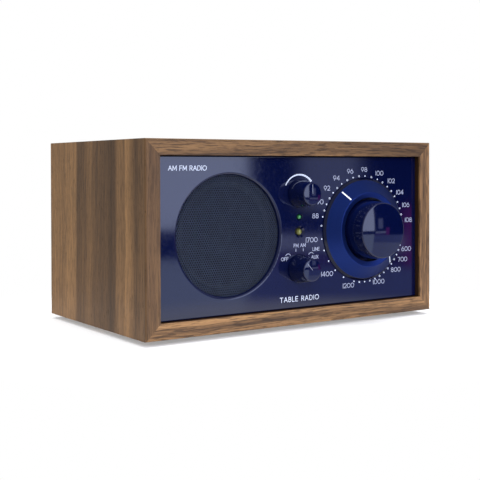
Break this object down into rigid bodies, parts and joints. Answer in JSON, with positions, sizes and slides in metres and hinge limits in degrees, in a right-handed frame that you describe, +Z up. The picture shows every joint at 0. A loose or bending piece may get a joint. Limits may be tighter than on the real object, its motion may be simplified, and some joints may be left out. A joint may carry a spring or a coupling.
{
  "type": "tabletop radio",
  "caption": "Wooden-cabinet tabletop AM/FM radio with a round grille, a large geared tuning dial and knob, and small volume and source knobs.",
  "frame": {"origin": "centre of the bounding box in X and Y, at the surface the feet stand on", "axes": "+X to the right of someone facing the radio, the front faces -Y, +Z up"},
  "size_m": [0.2126, 0.15, 0.1143],
  "materials": {
    "walnut_veneer": "satin oiled walnut veneer",
    "softwood": "plain sawn",
    "foot_rubber": "matt moulded",
    "black_plastic": "fine textured",
    "panel_navy": "high gloss lacquer",
    "knob_navy": "high gloss",
    "dial_blue": "satin metallic blue",
    "grille_paint": "satin paint on perforated steel",
    "zinc_steel": "bright zinc plate",
    "black_screws": "black oxide",
    "basket_paint": "black powder coat",
    "gasket_foam": "closed foam",
    "surround_rubber": "soft butyl",
    "spider_cloth": "resin-treated cloth",
    "cone_paper": "treated pulp",
    "magnet_ferrite": "sintered ferrite",
    "copper_winding": "enamelled wire",
    "gear_acetal": "natural acetal",
    "capacitor_metal": "bright",
    "control_metal": "bright pressed",
    "green_lens": "tinted resin",
    "amber_lens": "tinted resin",
    "board_green": "solder resist",
    "capacitor_sleeve": "shrink sleeve",
    "heat_sink": "black anodised",
    "lead_sheath": "PVC"
  },
  "bodies": {
    "cabinet": {"amplifier_heat_sink": "heat_sink", "antenna_connector": "zinc_steel", "antenna_switch_frame": "black_plastic", "audio_jacks": "black_plastic", "bass_port": "black_plastic", "board_capacitors": "capacitor_sleeve", "cabinet_bottom": "walnut_veneer", "cabinet_left_side": "walnut_veneer", "cabinet_right_side": "walnut_veneer", "cabinet_top": "walnut_veneer", "control_board": "board_green", "control_nuts": "zinc_steel", "corner_cleats": "softwood", "driver_basket": "basket_paint", "driver_front_plate": "zinc_steel", "driver_gasket": "gasket_foam", "driver_magnet": "magnet_ferrite", "driver_screws": "zinc_steel", "driver_spider": "spider_cloth", "driver_surround": "surround_rubber", "driver_yoke": "zinc_steel", "ferrite_rod_antenna": "magnet_ferrite", "ferrite_rod_coil": "black_plastic", "front_panel": "panel_navy", "front_panel_screws": "zinc_steel", "gear_housing_cover": "gear_acetal", "main_board": "board_green", "mains_inlet": "black_plastic", "power_jack": "black_plastic", "power_led": "green_lens", "rear_panel": "black_plastic", "rear_panel_screws": "black_screws", "ring_gear_housing": "gear_acetal", "rubber_feet": "foot_rubber", "source_switch_body": "control_metal", "speaker_grille": "grille_paint", "speaker_leads": "lead_sheath", "transformer_core": "zinc_steel", "transformer_winding": "copper_winding", "tuner_shield": "zinc_steel", "tuning_capacitor_case": "capacitor_metal", "tuning_led": "amber_lens", "volume_control_body": "control_metal"},
    "tuning_dial": {"tuning_dial": "dial_blue", "planet_carrier": "gear_acetal", "carrier_back_plate": "gear_acetal", "tuning_capacitor_rotor": "capacitor_metal"},
    "tuning_knob": {"tuning_knob": "knob_navy", "tuning_shaft": "zinc_steel"},
    "planet_1": {"planet_gear_1": "gear_acetal"},
    "planet_2": {"planet_gear_2": "gear_acetal"},
    "planet_3": {"planet_gear_3": "gear_acetal"},
    "volume_control": {"volume_knob": "knob_navy", "volume_control_shaft": "zinc_steel"},
    "source_selector": {"source_knob": "knob_navy", "source_switch_shaft": "zinc_steel"},
    "antenna_switch": {"antenna_switch_slider": "black_plastic"},
    "speaker_cone": {"driver_cone": "cone_paper", "driver_dust_cap": "cone_paper", "driver_voice_coil": "copper_winding"}
  },
  "joints": [
    {"name": "dial_turn", "type": "hinge", "parent": "cabinet", "child": "tuning_dial", "pos_m": [0.0513, -0.04435, 0.05865], "axis": [0, 1, 0], "range_deg": [-49.5, 126.5]},
    {"name": "tuning_knob_turn", "type": "hinge", "parent": "cabinet", "child": "tuning_knob", "pos_m": [0.0513, -0.04435, 0.05865], "axis": [0, 1, 0], "range_deg": [-250, 635]},
    {"name": "planet_1_turn", "type": "hinge", "parent": "tuning_dial", "child": "planet_1", "pos_m": [0.0618, -0.04435, 0.05865], "axis": [0, 1, 0], "range_deg": [-340, 135]},
    {"name": "planet_2_turn", "type": "hinge", "parent": "tuning_dial", "child": "planet_2", "pos_m": [0.04605, -0.04435, 0.06774], "axis": [0, 1, 0], "range_deg": [-340, 135]},
    {"name": "planet_3_turn", "type": "hinge", "parent": "tuning_dial", "child": "planet_3", "pos_m": [0.04605, -0.04435, 0.04956], "axis": [0, 1, 0], "range_deg": [-340, 135]},
    {"name": "volume_turn", "type": "hinge", "parent": "cabinet", "child": "volume_control", "pos_m": [0.0008, -0.05835, 0.0821], "axis": [0, 1, 0], "range_deg": [-150, 150]},
    {"name": "source_turn", "type": "hinge", "parent": "cabinet", "child": "source_selector", "pos_m": [0.0007, -0.05835, 0.0364], "axis": [0, 1, 0], "range_deg": [0, 90]},
    {"name": "antenna_slide", "type": "slide", "parent": "cabinet", "child": "antenna_switch", "axis": [1, 0, 0], "range_m": [0, 0.004]},
    {"name": "cone_travel", "type": "slide", "parent": "cabinet", "child": "speaker_cone", "axis": [0, 1, 0], "range_m": [-0.0015, 0.0015], "stiffness_N_per_m": 1000, "deforming": ["driver_surround", "driver_spider"]}
  ],
  "couplings": [
    {"joint": "tuning_knob_turn", "follows": "dial_turn", "ratio": 5},
    {"joint": "planet_1_turn", "follows": "dial_turn", "ratio": -2.6667},
    {"joint": "planet_2_turn", "follows": "dial_turn", "ratio": -2.6667},
    {"joint": "planet_3_turn", "follows": "dial_turn", "ratio": -2.6667}
  ]
}
